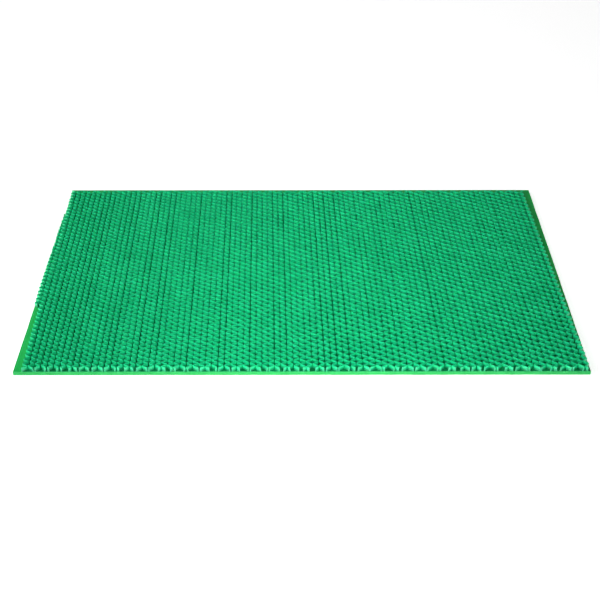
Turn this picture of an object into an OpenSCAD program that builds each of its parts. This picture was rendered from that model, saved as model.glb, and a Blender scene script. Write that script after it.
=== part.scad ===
// Slip-resistant tread mat for a mounting block step.
// An open web of upright zigzag vinyl strands is welded to a solid vinyl backing sheet, which
// reaches a little further back than the web.
// The origin is the centre of the underside. +X runs along the front edge, +Y runs from the
// front edge to the back edge, and +Z is up. All sizes are millimetres.

/* [Mat] */
// Length of the mat, along its front edge
mat_length = 600; // [300:10:900]
// Depth of the mat, from its front edge to its back edge
mat_depth = 400; // [200:10:600]

/* [Backing] */
// Thickness of the backing sheet
backing_thickness = 4.7; // [2:0.1:8]
// Thickness of the coat that welds the web to the backing sheet
coat_thickness = 0.3; // [0.1:0.1:0.8]

/* [Web] */
// Depth of the bare strip of backing behind the web
back_margin = 10; // [0:1:40]
// Number of strands, side by side
strand_count = 90; // [30:3:150]
// Height of a strand, from the bonding coat up to the tread
strand_height = 5; // [2:0.5:10]
// Width of a strand's wall, measured along X
wall_width = 1.8; // [1:0.1:2.4]
// Zigzags along each strand in the left part of the web
left_zigzags = 49; // [20:1:70]
// Zigzags along each strand in the right part of the web
right_zigzags = 41; // [20:1:70]
// Share of the web's width, from its left side, where the number of zigzags starts to fall
fall_start = 0.25; // [0:0.05:1]
// Share of the web's width that the fall takes up
fall_width = 0.25; // [0.05:0.05:1]
// How far a strand drifts to the right on its way from the web's back edge to its front edge
web_lean = 9; // [0:0.5:12]
// How far a strand's bends run ahead of its left neighbour's, as a share of one zigzag
bend_offset = 0.44; // [0.3:0.01:0.5]
// Bare backing left beside the web where its outer strands come closest to a side edge
side_margin = 0.3; // [0.1:0.1:5]
// Gap between two neighbouring strands where their bends meet
bend_gap = 0.06; // [0.02:0.01:0.3]

/* [Trimmed strand] */
// Distance from the mat's front edge to the front end of the trimmed strand
trimmed_start = 120; // [10:5:300]
// Length of the trimmed strand
trimmed_length = 210; // [20:5:260]

/* [Colours] */
// Colour of the backing sheet
backing_colour = "#41cf6a";
// Colour of the bonding coat
coat_colour = "#0a8a50";
// Colour of the strands
strand_colour = "#1aae6e";

/* [Hidden] */
// Strands in one band; each band is one node
strands_per_band = 3;
band_count = strand_count / strands_per_band;
strand_pitch = (mat_length - web_lean - 2 * side_margin) / strand_count;
web_length = strand_count * strand_pitch;
web_depth = mat_depth - back_margin;
// The web's middle line, between its front edge and its back edge
web_middle = -back_margin / 2;
// Sideways reach of a strand's centre line from the middle of its lane to a bend
strand_reach = (strand_pitch - bend_gap - wall_width) / 2;
web_base = backing_thickness + coat_thickness;
// A bend that would come closer than this to a cut edge is left out
shortest_run = 0.5;
// Outline points lie on a grid this fine
grid = 0.01;

function band_name(band) = str("strand_band_", band < 10 ? "0" : "", band);

function on_grid(value) = round(value / grid) * grid;

// A wave of straight flanks between -1 and 1: -1 at whole turns, 1 half way between them
function zigzag(turn) = 1 - 4 * abs(turn - floor(turn) - 0.5);

// Sideways shift of the web at a distance v from its middle line
function lean_at(v) = -web_lean * v / web_depth;

// How far the number of zigzags has fallen at a strand: 0 in the left part, 1 in the right part
function fall_at(strand) =
    min(1, max(0, (strand / (strand_count - 1) - fall_start) / fall_width));

function zigzags_in(strand) = left_zigzags + (right_zigzags - left_zigzags) * fall_at(strand);

// Left side of the web at a distance v from its middle line
function left_side(v) = -web_length / 2 + lean_at(v);

// Centre line of a strand; neighbours bend in nearly opposite directions
function centre_at(strand, v) =
    (strand - (strand_count - 1) / 2) * strand_pitch + lean_at(v)
    + strand_reach * zigzag(strand * bend_offset + zigzags_in(strand) * v / web_depth);

// Distances from the web's middle line at which a strand has its ends and its bends
function stations(strand) =
    let (bend_step = web_depth / zigzags_in(strand) / 2)
    let (lag = strand * bend_offset * 2)
    let (reach = (web_depth / 2 - shortest_run) / bend_step)
    concat(
        -web_depth / 2,
        [for (k = [ceil(lag - reach):floor(lag + reach)]) (k - lag) * bend_step],
        web_depth / 2
    );

// One wall of a strand, seen from above: side is -1 for its left face and 1 for its right face
function wall_line(strand, side) = [
    for (v = stations(strand))
        [on_grid(centre_at(strand, v) + side * wall_width / 2), on_grid(web_middle + v)]
];

function reversed(list) = [for (k = [len(list) - 1:-1:0]) list[k]];

// A strand seen from above
module strand_outline(number) {
    polygon(concat(wall_line(number, -1), reversed(wall_line(number, 1))));
}

// One upright ribbon of vinyl that zigzags from the web's front edge to its back edge
module strand(number) {
    translate([0, 0, web_base])
        linear_extrude(height = strand_height)
            strand_outline(number);
}

// Solid sheet that lies on the step
module backing_sheet() {
    color(backing_colour)
        translate([-mat_length / 2, -mat_depth / 2, 0])
            cube([mat_length, mat_depth, backing_thickness]);
}

// Thin coat under the web and under the trimmed strand
module bonding_coat() {
    front = -web_depth / 2;
    back = web_depth / 2;
    trimmed_front = trimmed_start - mat_depth / 2;
    outline = [
        [left_side(front), web_middle + front],
        [left_side(front) + web_length, web_middle + front],
        [left_side(back) + web_length, web_middle + back],
        [left_side(back), web_middle + back],
        [-mat_length / 2, trimmed_front + trimmed_length],
        [-mat_length / 2, trimmed_front],
        [left_side(trimmed_front - web_middle), trimmed_front]
    ];
    color(coat_colour)
        translate([0, 0, backing_thickness])
            linear_extrude(height = coat_thickness)
                polygon(outline);
}

// Outermost strand at the left side. The mat's edge cuts it lengthwise, so that only its
// right-hand bends are left, and fewer of them stay on the backing towards the back.
module trimmed_strand() {
    color(strand_colour)
        translate([0, 0, web_base])
            linear_extrude(height = strand_height)
                intersection() {
                    strand_outline(-1);
                    translate([-mat_length / 2, trimmed_start - mat_depth / 2])
                        square([2 * strand_pitch, trimmed_length]);
                }
}

// Neighbouring strands of the web, counted from the left side
module strand_band(band) {
    color(strand_colour)
        for (k = [0:strands_per_band - 1])
            strand((band - 1) * strands_per_band + k);
}

backing_sheet();
bonding_coat();
trimmed_strand();
for (band = [1:band_count])
    strand_band(band);
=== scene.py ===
"""Looks of a zigzag-web vinyl tread mat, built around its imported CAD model. Metres, +Z up."""

import math

import bpy
import numpy as np
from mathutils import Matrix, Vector


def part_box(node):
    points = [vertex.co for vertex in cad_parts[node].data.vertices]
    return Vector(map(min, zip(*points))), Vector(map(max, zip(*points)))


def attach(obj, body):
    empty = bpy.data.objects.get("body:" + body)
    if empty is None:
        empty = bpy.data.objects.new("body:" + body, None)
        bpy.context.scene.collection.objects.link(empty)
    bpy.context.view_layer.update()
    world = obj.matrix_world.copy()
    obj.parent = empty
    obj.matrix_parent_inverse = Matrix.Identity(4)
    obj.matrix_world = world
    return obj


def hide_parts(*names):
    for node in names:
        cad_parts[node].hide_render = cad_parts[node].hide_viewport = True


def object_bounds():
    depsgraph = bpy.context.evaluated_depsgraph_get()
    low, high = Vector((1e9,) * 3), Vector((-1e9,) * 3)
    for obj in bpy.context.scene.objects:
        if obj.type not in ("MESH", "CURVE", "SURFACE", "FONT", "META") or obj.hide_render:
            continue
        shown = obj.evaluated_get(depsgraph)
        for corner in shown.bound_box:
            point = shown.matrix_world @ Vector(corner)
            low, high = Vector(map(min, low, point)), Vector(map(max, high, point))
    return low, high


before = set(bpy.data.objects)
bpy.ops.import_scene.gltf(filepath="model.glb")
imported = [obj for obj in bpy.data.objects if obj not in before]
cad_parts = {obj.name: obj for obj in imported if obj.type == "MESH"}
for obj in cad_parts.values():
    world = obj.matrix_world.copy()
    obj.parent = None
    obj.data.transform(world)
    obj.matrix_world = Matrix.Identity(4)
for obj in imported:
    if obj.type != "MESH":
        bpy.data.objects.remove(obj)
cad_low, cad_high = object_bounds()
MM = 0.001

# The web: these repeat the design's own values
STRANDS_PER_BAND = 3
LEFT_ZIGZAGS = 49
RIGHT_ZIGZAGS = 41
FALL_START = 0.25
FALL_WIDTH = 0.25
WEB_LEAN = 9.0 * MM

# The start of the random draws, and how finely a strand is drawn
SEED = 7
STATIONS_PER_ZIGZAG = 14

# The strands' bends. A sharpness of 1 would be a sharp zigzag, and the others are shares of one
# zigzag: how far a strand's bends run ahead of its left neighbour's, and how they stray
BEND_SHARPNESS = 0.93
BEND_OFFSET = 0.44
BEND_OFFSET_SCATTER = 0.05
BEND_DRIFT = 0.045
BEND_JITTER = 0.018

# The strands' walls: half their thickness at both sides of the mat, how uneven they are, and the
# gap between the last strand and the end of its lane
LEFT_HALF_WALL = 0.55 * MM
RIGHT_HALF_WALL = 0.61 * MM
WALL_UNEVENNESS = 0.06
HEIGHT_UNEVENNESS = 0.02
REACH_UNEVENNESS = 0.08 * MM
LEANING = 0.18 * MM
RIGHT_EDGE_SEAM = 1.4 * MM

# The trimmed strand: fragments thinner than this, or with fewer rings, are left out
THINNEST_FRAGMENT = 0.5 * MM
FEWEST_RINGS = 3

# The seams between strands. The share of them that stands open falls from the left edge over a
# share of the strands. The seams' own widths, from TOUCHING_SEAM on, are millimetres
OPEN_SEAMS_LEFT = 0.80
OPEN_SEAMS_RIGHT = 0.04
SEAM_CHANGE_SHARE = 0.6
TOUCHING_SEAM = (-0.12, 0.10)
OPEN_SEAM = (0.30, 0.55)
WIDER_AT_LEFT = 0.35
SEAM_WANDER = 0.12
DEEPEST_OVERLAP = -0.15
SEAM_STEPS = 14

# The raggedness of the coat's sides and of the backing's knife cut
COAT_RAGGEDNESS = 0.25 * MM
COAT_OVERLAP = 0.4 * MM
CUT_WANDER = 0.12 * MM
CUT_SOFTENING = 0.35 * MM

sheet_low, sheet_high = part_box("backing_sheet")
coat_low, coat_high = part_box("bonding_coat")
trimmed_low, trimmed_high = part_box("trimmed_strand")
band_names = sorted(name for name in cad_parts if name.startswith("strand_band_"))
strand_count = STRANDS_PER_BAND * len(band_names)
web_depth = coat_high.y - coat_low.y
web_middle = (coat_high.y + coat_low.y) / 2
pitch = (coat_high.x - coat_low.x - WEB_LEAN) / strand_count
web_bottom = coat_high.z
web_top = cad_high.z
random = np.random.RandomState(SEED)


# ---------------------------------------------------------------- camera, lights and floor

def add_camera():
    """A camera in front of the mat that looks down on it."""
    tilt = math.radians(33.2)
    turn = math.radians(0.10)
    data = bpy.data.cameras.new("camera")
    data.sensor_width = 36.0
    data.lens = 71.7
    camera = bpy.data.objects.new("camera", data)
    camera.location = (-0.0038, -1.1963, 0.7453)
    camera.rotation_euler = (math.pi / 2 - tilt, 0.0, -turn)
    bpy.context.scene.collection.objects.link(camera)
    bpy.context.scene.camera = camera


def add_area_light(name, azimuth, elevation, distance, size, power, spread=180.0):
    """A square white soft box that faces the mat. Azimuth runs from straight in front to the
    left, and angles are in degrees."""
    azimuth, elevation = math.radians(azimuth), math.radians(elevation)
    towards_light = Vector((
        -math.sin(azimuth) * math.cos(elevation),
        -math.cos(azimuth) * math.cos(elevation),
        math.sin(elevation),
    ))
    data = bpy.data.lights.new(name, "AREA")
    data.shape = "SQUARE"
    data.size = size
    data.energy = power
    data.spread = math.radians(spread)
    light = bpy.data.objects.new(name, data)
    light.location = distance * towards_light
    light.rotation_euler = (-towards_light).to_track_quat("-Z", "Y").to_euler()
    bpy.context.scene.collection.objects.link(light)


def add_lights():
    """A low key light from the front left, a narrow fill from the front, a faint light from
    behind and a dim white surround."""
    add_area_light("key_light", azimuth=64.0, elevation=31.0, distance=3.0, size=0.7, power=46.0)
    add_area_light("front_light", azimuth=-3.0, elevation=24.0, distance=1.4, size=0.25,
                   power=0.75, spread=42.0)
    add_area_light("back_light", azimuth=172.0, elevation=36.0, distance=3.0, size=0.5, power=1.2)
    world = bpy.data.worlds.new("surround")
    world.use_nodes = True
    background = world.node_tree.nodes["Background"]
    background.inputs["Color"].default_value = (1.0, 1.0, 1.0, 1.0)
    background.inputs["Strength"].default_value = 0.14
    bpy.context.scene.world = world
    bpy.context.scene.view_settings.view_transform = "Standard"


# ---------------------------------------------------------------- node materials

def new_material(name):
    """A material with its shader, ready for nodes."""
    material = bpy.data.materials.new(name)
    material.use_nodes = True
    tree = material.node_tree
    return material, tree, tree.nodes["Principled BSDF"]


def add_noise(tree, coordinates, scale, detail, roughness=0.5):
    """A noise texture's value, at a scale in features per metre."""
    noise = tree.nodes.new("ShaderNodeTexNoise")
    noise.inputs["Scale"].default_value = scale
    noise.inputs["Detail"].default_value = detail
    noise.inputs["Roughness"].default_value = roughness
    tree.links.new(coordinates, noise.inputs["Vector"])
    return noise.outputs["Fac"]


def add_ramp(tree, value, stops):
    """A colour ramp over (position, colour) stops."""
    ramp = tree.nodes.new("ShaderNodeValToRGB")
    elements = ramp.color_ramp.elements
    while len(elements) < len(stops):
        elements.new(0.5)
    for element, (position, colour) in zip(elements, stops):
        element.position = position
        element.color = (*colour, 1.0)
    tree.links.new(value, ramp.inputs["Fac"])
    return ramp.outputs["Color"]


def add_range(tree, value, low, high):
    """A value from 0 to 1 spread over another range."""
    spread = tree.nodes.new("ShaderNodeMapRange")
    spread.inputs["To Min"].default_value = low
    spread.inputs["To Max"].default_value = high
    tree.links.new(value, spread.inputs["Value"])
    return spread.outputs["Result"]


def add_bump(tree, height, strength, distance):
    """Bump from a height value."""
    bump = tree.nodes.new("ShaderNodeBump")
    bump.inputs["Strength"].default_value = strength
    bump.inputs["Distance"].default_value = distance
    tree.links.new(height, bump.inputs["Height"])
    return bump.outputs["Normal"]


def paint_shade_towards_bottom(tree, place, colour, low, high, darkest_painted_shade):
    """Painted shade: a colour that fades from its full value at height high to a share of it at
    height low, standing in for the shade deep down in the web.
    """
    split = tree.nodes.new("ShaderNodeSeparateXYZ")
    tree.links.new(place, split.inputs["Vector"])
    depth = tree.nodes.new("ShaderNodeMapRange")
    depth.interpolation_type = "SMOOTHSTEP"
    depth.inputs["From Min"].default_value = low
    depth.inputs["From Max"].default_value = high
    depth.inputs["To Min"].default_value = darkest_painted_shade
    depth.inputs["To Max"].default_value = 1.0
    tree.links.new(split.outputs["Z"], depth.inputs["Value"])
    shade = tree.nodes.new("ShaderNodeHueSaturation")
    tree.links.new(depth.outputs["Result"], shade.inputs["Value"])
    tree.links.new(colour, shade.inputs["Color"])
    return shade.outputs["Color"]


def object_coordinates(tree):
    return tree.nodes.new("ShaderNodeTexCoord").outputs["Object"]


def vinyl(name, dark, light, patch_scale, grain_scale, gloss, grain_depth, sheen=0.25, painted_shade=None):
    """Satin vinyl: soft patches of two close colours, uneven gloss and a fine grain. Given (low,
    high, darkest) for painted shade, the colour is darkened towards the bottom of the web as
    painted shade for the deep pits."""
    material, tree, shader = new_material(name)
    place = object_coordinates(tree)
    patches = add_noise(tree, place, patch_scale, 4.0)
    colour = add_ramp(tree, patches, [(0.32, dark), (0.68, light)])
    if painted_shade is not None:
        colour = paint_shade_towards_bottom(tree, place, colour, *painted_shade)
    tree.links.new(colour, shader.inputs["Base Color"])
    smudges = add_noise(tree, place, patch_scale * 5.0, 3.0)
    tree.links.new(add_range(tree, smudges, *gloss), shader.inputs["Roughness"])
    grain = add_noise(tree, place, grain_scale, 3.0, 0.6)
    tree.links.new(add_bump(tree, grain, 0.6, grain_depth), shader.inputs["Normal"])
    shader.inputs["IOR"].default_value = 1.5
    shader.inputs["Specular IOR Level"].default_value = sheen
    shader.inputs["Subsurface Weight"].default_value = 0.2
    shader.inputs["Subsurface Radius"].default_value = (0.3, 1.0, 0.7)
    shader.inputs["Subsurface Scale"].default_value = 0.6 * MM
    return material


def floor_material():
    """Matt white paper that glows a little, so that shadows on it stay faint."""
    material, tree, shader = new_material("floor_paper")
    place = object_coordinates(tree)
    fibres = add_noise(tree, place, 60.0, 3.0)
    colour = add_ramp(tree, fibres, [(0.3, (0.90, 0.90, 0.90)), (0.7, (0.93, 0.93, 0.93))])
    tree.links.new(colour, shader.inputs["Base Color"])
    shader.inputs["Roughness"].default_value = 0.9
    shader.inputs["Emission Color"].default_value = (1.0, 1.0, 1.0, 1.0)
    shader.inputs["Emission Strength"].default_value = 0.7
    return material


# ---------------------------------------------------------------- mesh helpers

def make_piece(name, vertices, faces, materials, slots=None):
    """A mesh object from points and faces, smooth except at sharp edges."""
    mesh = bpy.data.meshes.new(name)
    mesh.from_pydata(vertices, [], faces)
    for material in materials:
        mesh.materials.append(material)
    if slots is not None:
        mesh.polygons.foreach_set("material_index", slots)
    mesh.shade_smooth()
    mesh.set_sharp_from_angle(angle=math.radians(40.0))
    mesh.update()
    piece = bpy.data.objects.new(name, mesh)
    bpy.context.scene.collection.objects.link(piece)
    return piece


def smooth_noise(count, step):
    """Random values with zero mean that change smoothly over about step entries."""
    knots = random.normal(0.0, 1.0, int(count / step) + 4)
    return np.interp(np.arange(count) / step, np.arange(len(knots)), knots)


# ---------------------------------------------------------------- the web of strands

def zigzag_wave(turns):
    """A zigzag between -1 and 1 with rounded bends, -1 at whole turns."""
    wave = np.sin(2.0 * math.pi * (turns - 0.25))
    return np.arcsin(BEND_SHARPNESS * wave) / math.asin(BEND_SHARPNESS)


def strand_profile():
    """Half of a strand's cross-section as (share of half width, share of height), foot first.
    The foot spreads into the coat, and the top is rounded."""
    return [
        (1.45, 0.00), (1.14, 0.05), (1.00, 0.16), (0.96, 0.55), (1.00, 0.90),
        (0.92, 0.98), (0.66, 1.00),
    ]


def zigzags_in(strand):
    """Zigzags along a strand: many in the left part of the web, fewer in the right part."""
    fall = (strand / (strand_count - 1) - FALL_START) / FALL_WIDTH
    return LEFT_ZIGZAGS + (RIGHT_ZIGZAGS - LEFT_ZIGZAGS) * min(1.0, max(0.0, fall))


def seam_widths():
    """How far neighbouring strands stay apart at their bends, seam by seam and along each seam.
    Open seams are common and wide at the left edge and rare from the middle to the right."""
    from_left = np.minimum(np.arange(strand_count + 1) / (SEAM_CHANGE_SHARE * strand_count), 1.0)
    share = OPEN_SEAMS_LEFT + (OPEN_SEAMS_RIGHT - OPEN_SEAMS_LEFT) * from_left
    is_open = random.uniform(0.0, 1.0, strand_count + 1) < share
    touching = random.uniform(*TOUCHING_SEAM, strand_count + 1)
    apart = random.uniform(*OPEN_SEAM, strand_count + 1) + WIDER_AT_LEFT * (1.0 - from_left)
    middle = np.where(is_open, apart, touching)
    wander = random.normal(0.0, SEAM_WANDER, (strand_count + 1, SEAM_STEPS))
    seams = np.maximum(middle[:, None] + wander, DEEPEST_OVERLAP) * MM
    seams[-1] = RIGHT_EDGE_SEAM
    return seams


def strand_rings(strand, lead, seams):
    """The rings of one strand from the front edge to the back edge, as an array of points."""
    zigzags = zigzags_in(strand)
    count = int(zigzags * STATIONS_PER_ZIGZAG) + 1
    v = np.linspace(-web_depth / 2, web_depth / 2, count)
    drift = BEND_DRIFT * smooth_noise(count, 9.0 * STATIONS_PER_ZIGZAG)
    jitter = BEND_JITTER * smooth_noise(count, 0.6 * STATIONS_PER_ZIGZAG)
    turns = lead + zigzags * v / web_depth + drift + jitter
    seam_places = np.linspace(-web_depth / 2, web_depth / 2, SEAM_STEPS)
    left = -pitch / 2 + np.interp(v, seam_places, seams[strand]) / 2
    right = pitch / 2 - np.interp(v, seam_places, seams[strand + 1]) / 2
    wall = LEFT_HALF_WALL + (RIGHT_HALF_WALL - LEFT_HALF_WALL) * strand / strand_count
    reach = (right - left) / 2 - wall
    reach = reach + REACH_UNEVENNESS * smooth_noise(count, 0.5 * STATIONS_PER_ZIGZAG)
    middle = (left + right) / 2 + (strand - (strand_count - 1) / 2) * pitch
    x = middle - WEB_LEAN * v / web_depth + reach * zigzag_wave(turns)
    along_x, along_y = np.gradient(x), np.gradient(v)
    length = np.hypot(along_x, along_y)
    normal_x, normal_y = along_y / length, -along_x / length
    half_wall = wall * (1.0 + WALL_UNEVENNESS * smooth_noise(count, 6.0))
    height = (web_top - web_bottom) * (1.0 - HEIGHT_UNEVENNESS * np.abs(smooth_noise(count, 5.0)))
    tilt = LEANING * smooth_noise(count, 0.8 * STATIONS_PER_ZIGZAG)

    half = strand_profile()
    ring = [(-across, up) for across, up in half] + [(across, up) for across, up in reversed(half)]
    points = np.zeros((count, len(ring), 3))
    for k, (across, up) in enumerate(ring):
        offset = across * half_wall + tilt * up
        points[:, k, 0] = np.clip(x + normal_x * offset, cad_low.x, cad_high.x)
        points[:, k, 1] = np.clip(v + normal_y * offset, -web_depth / 2, web_depth / 2) + web_middle
        points[:, k, 2] = web_bottom + up * height
    points[0, :, 1] = coat_low.y
    points[-1, :, 1] = coat_high.y
    return points


def add_strand(rings, vertices, faces, slots):
    """Joins rings into one closed strand. Its cut ends use the second material slot."""
    first = len(vertices)
    stations, size = rings.shape[:2]
    vertices.extend(map(tuple, rings.reshape(-1, 3)))
    for station in range(stations - 1):
        base = first + station * size
        for j in range(size):
            n = (j + 1) % size
            faces.append((base + j, base + n, base + size + n, base + size + j))
    slots.extend([0] * ((stations - 1) * size))
    last = first + (stations - 1) * size
    faces.append(tuple(first + j for j in reversed(range(size))))
    faces.append(tuple(last + j for j in range(size)))
    slots.extend([1, 1])


def finish_strands(name, node_name, mesh_lists, materials):
    vertices, faces, slots = mesh_lists
    piece = make_piece(name, vertices, faces, materials, slots)
    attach(piece, "root")
    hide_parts(node_name)


def build_trimmed_strand(lead, seams, materials):
    """The outermost strand at the left, cut lengthwise by the mat's edge into separate bends."""
    rings = strand_rings(-1, lead, seams)
    y = rings[:, :, 1].mean(axis=1)
    stands_on_backing = rings[:, :, 0].max(axis=1) > cad_low.x + THINNEST_FRAGMENT
    is_kept = stands_on_backing & (y > trimmed_low.y) & (y < trimmed_high.y)
    mesh_lists = ([], [], [])
    run = []
    for station in range(len(rings)):
        if is_kept[station]:
            run.append(station)
        elif run:
            if len(run) >= FEWEST_RINGS:
                add_strand(rings[run], *mesh_lists)
            run = []
    finish_strands("web_trimmed_strand", "trimmed_strand", mesh_lists, materials)


def build_web():
    # Painted shade on the strand walls: their colour darkens to 0.4 of itself towards the bottom of
    # the web, standing in for the shade in the pits.
    painted_shade_top = web_bottom + 0.75 * (web_top - web_bottom)
    walls = vinyl("strand_vinyl", (0.006, 0.70, 0.280), (0.012, 0.80, 0.335), 45.0, 2600.0,
                  (0.30, 0.45), 0.00006, sheen=0.5, painted_shade=(web_bottom, painted_shade_top, 0.4))
    cuts = vinyl("cut_vinyl", (0.03, 0.45, 0.21), (0.06, 0.57, 0.29), 400.0, 5000.0,
                 (0.5, 0.65), 0.0001)
    materials = [walls, cuts]
    seams = seam_widths()
    steps = random.normal(BEND_OFFSET, BEND_OFFSET_SCATTER, strand_count)
    leads = np.cumsum(steps)
    build_trimmed_strand(leads[0] - BEND_OFFSET, seams, materials)
    for band, node_name in enumerate(band_names):
        mesh_lists = ([], [], [])
        for strand in range(band * STRANDS_PER_BAND, (band + 1) * STRANDS_PER_BAND):
            add_strand(strand_rings(strand, leads[strand], seams), *mesh_lists)
        finish_strands("web_" + node_name.removeprefix("strand_"), node_name, mesh_lists, materials)


# ---------------------------------------------------------------- coat and backing

def build_coat():
    """The thin coat under the web, with a slightly ragged edge along its sides. Under the
    trimmed strand it reaches to the mat's left edge."""
    rows = 160
    columns = 60
    y = np.linspace(coat_low.y, coat_high.y, rows + 1)
    half = strand_count * pitch / 2
    lean = -WEB_LEAN * (y - web_middle) / web_depth
    left = -half + lean + COAT_RAGGEDNESS * smooth_noise(rows + 1, 3.0) + COAT_OVERLAP
    left = np.where(y > trimmed_low.y, coat_low.x + 0.2 * MM, left)
    right = half + lean + COAT_RAGGEDNESS * smooth_noise(rows + 1, 3.0) - COAT_OVERLAP
    vertices, faces = [], []
    share = np.linspace(0.0, 1.0, columns + 1)
    for r in range(rows + 1):
        for s in share:
            edge = min(s, 1.0 - s) * columns
            z = coat_high.z if edge >= 1.0 else coat_low.z + 0.4 * (coat_high.z - coat_low.z)
            vertices.append((left[r] + (right[r] - left[r]) * s, y[r], z))
    low = len(vertices)
    for r in range(rows + 1):
        for s in share:
            vertices.append((left[r] + (right[r] - left[r]) * s, y[r], coat_low.z))
    width = columns + 1
    for r in range(rows):
        for c in range(columns):
            a = r * width + c
            faces.append((a, a + 1, a + width + 1, a + width))
            faces.append((low + a, low + a + width, low + a + width + 1, low + a + 1))
    for r in range(rows):
        a = r * width
        faces.append((a, a + width, low + a + width, low + a))
        b = a + columns
        faces.append((b, low + b, low + b + width, b + width))
    for c in range(columns):
        faces.append((c, low + c, low + c + 1, c + 1))
        d = rows * width + c
        faces.append((d, d + 1, low + d + 1, low + d))
    # The coat's own green, made much darker than the strands as painted shade for the bottoms of
    # the pits between them.
    material = vinyl("bonding_vinyl", (0.001, 0.20, 0.070), (0.003, 0.28, 0.100), 60.0, 1500.0,
                     (0.7, 0.85), 0.00005, sheen=0.15)
    piece = make_piece("bonding_layer", vertices, faces, [material])
    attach(piece, "root")
    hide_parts("bonding_coat")


def build_backing():
    """The backing sheet: knife-cut sides that wander a little, softened edges and a flat middle."""
    step = 4.0 * MM
    centre_x, centre_y = (sheet_low.x + sheet_high.x) / 2, (sheet_low.y + sheet_high.y) / 2
    half_x, half_y = (sheet_high.x - sheet_low.x) / 2, (sheet_high.y - sheet_low.y) / 2
    along_x, along_y = int(2 * half_x / step), int(2 * half_y / step)
    sides = (
        [(-half_x + 2 * half_x * k / along_x, -half_y, 0.0, -1.0) for k in range(along_x)]
        + [(half_x, -half_y + 2 * half_y * k / along_y, 1.0, 0.0) for k in range(along_y)]
        + [(half_x - 2 * half_x * k / along_x, half_y, 0.0, 1.0) for k in range(along_x)]
        + [(-half_x, half_y - 2 * half_y * k / along_y, -1.0, 0.0) for k in range(along_y)]
    )
    count = len(sides)
    cut = CUT_WANDER * np.abs(smooth_noise(count, 5.0))
    cut[-1] = cut[0]
    low, high = sheet_low.z, sheet_high.z
    rings = [
        (1.0, low), (0.35, low + 0.12 * CUT_SOFTENING), (0.0, low + CUT_SOFTENING),
        (0.0, high - CUT_SOFTENING), (0.35, high - 0.12 * CUT_SOFTENING), (1.0, high),
    ]
    vertices, faces, slots = [], [], []
    for inset_share, z in rings:
        for k, (x, y, out_x, out_y) in enumerate(sides):
            inset = inset_share * CUT_SOFTENING
            from_edge = inset + cut[k]
            px = max(-half_x + inset, min(half_x - inset, x - out_x * from_edge))
            py = max(-half_y + inset, min(half_y - inset, y - out_y * from_edge))
            vertices.append((px + centre_x, py + centre_y, z))
    for r in range(len(rings) - 1):
        for k in range(count):
            n = (k + 1) % count
            base = r * count
            faces.append((base + k, base + n, base + count + n, base + count + k))
            slots.append(1)
    faces.append(tuple(reversed(range(count))))
    faces.append(tuple((len(rings) - 1) * count + k for k in range(count)))
    slots.extend([0, 0])
    face = vinyl("backing_vinyl", (0.014, 0.58, 0.108), (0.026, 0.68, 0.138), 25.0, 1800.0,
                 (0.45, 0.6), 0.00006)
    edge = vinyl("backing_cut_vinyl", (0.020, 0.43, 0.095), (0.035, 0.51, 0.125), 90.0, 3200.0,
                 (0.5, 0.65), 0.00012)
    piece = make_piece("backing_vinyl_sheet", vertices, faces, [face, edge], slots)
    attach(piece, "root")
    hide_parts("backing_sheet")


def build_floor():
    size = 6.0
    mesh = bpy.data.meshes.new("floor")
    corners = [(-size, -size, 0.0), (size, -size, 0.0), (size, size, 0.0), (-size, size, 0.0)]
    mesh.from_pydata(corners, [], [(0, 1, 2, 3)])
    mesh.materials.append(floor_material())
    floor = bpy.data.objects.new("floor", mesh)
    floor.location.z = cad_low.z - 0.1 * MM
    bpy.context.scene.collection.objects.link(floor)


add_camera()
add_lights()
build_floor()
build_backing()
build_coat()
build_web()
